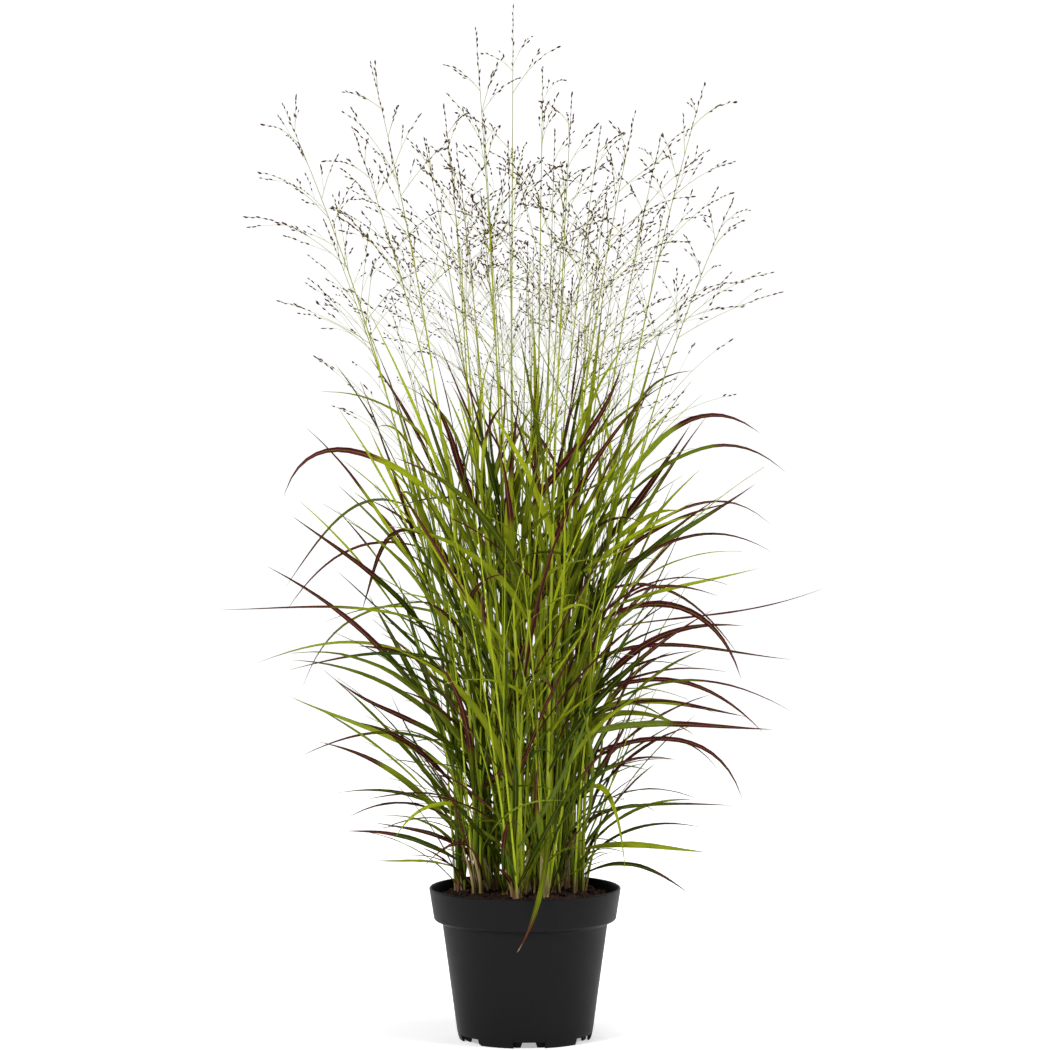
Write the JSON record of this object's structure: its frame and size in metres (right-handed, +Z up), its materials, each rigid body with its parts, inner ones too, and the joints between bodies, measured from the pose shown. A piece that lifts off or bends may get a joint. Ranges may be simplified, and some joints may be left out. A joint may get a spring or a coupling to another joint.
{
  "type": "potted switchgrass",
  "caption": "Tall clump of switchgrass with arching leaf blades and open airy seed heads, growing in a round black nursery pot.",
  "frame": {"origin": "on the ground under the axis of the pot", "axes": "+Z up along the pot's axis, -Y towards the viewer, +X to the viewer's right"},
  "size_m": [0.722, 0.722, 1.24],
  "materials": {
    "pot_plastic": "satin",
    "soil": "rough",
    "foliage": "satin",
    "seed_heads": "matte"
  },
  "bodies": {
    "root": {"panicle_01": "seed_heads", "panicle_02": "seed_heads", "panicle_03": "seed_heads", "panicle_04": "seed_heads", "panicle_05": "seed_heads", "panicle_06": "seed_heads", "panicle_07": "seed_heads", "panicle_08": "seed_heads", "panicle_09": "seed_heads", "panicle_10": "seed_heads", "panicle_11": "seed_heads", "panicle_12": "seed_heads", "panicle_13": "seed_heads", "panicle_14": "seed_heads", "panicle_15": "seed_heads", "panicle_16": "seed_heads", "panicle_17": "seed_heads", "panicle_18": "seed_heads", "panicle_19": "seed_heads", "panicle_20": "seed_heads", "panicle_21": "seed_heads", "panicle_22": "seed_heads", "panicle_23": "seed_heads", "panicle_24": "seed_heads", "panicle_25": "seed_heads", "panicle_26": "seed_heads", "panicle_27": "seed_heads", "panicle_28": "seed_heads", "panicle_29": "seed_heads", "panicle_30": "seed_heads", "panicle_31": "seed_heads", "panicle_32": "seed_heads", "panicle_33": "seed_heads", "panicle_34": "seed_heads", "panicle_35": "seed_heads", "panicle_36": "seed_heads", "panicle_37": "seed_heads", "panicle_38": "seed_heads", "pot": "pot_plastic", "soil": "soil", "tuft_01": "foliage", "tuft_02": "foliage", "tuft_03": "foliage", "tuft_04": "foliage", "tuft_05": "foliage", "tuft_06": "foliage", "tuft_07": "foliage", "tuft_08": "foliage", "tuft_09": "foliage", "tuft_10": "foliage", "tuft_11": "foliage", "tuft_12": "foliage", "tuft_13": "foliage", "tuft_14": "foliage", "tuft_15": "foliage", "tuft_16": "foliage", "tuft_17": "foliage", "tuft_18": "foliage"}
  },
  "joints": []
}
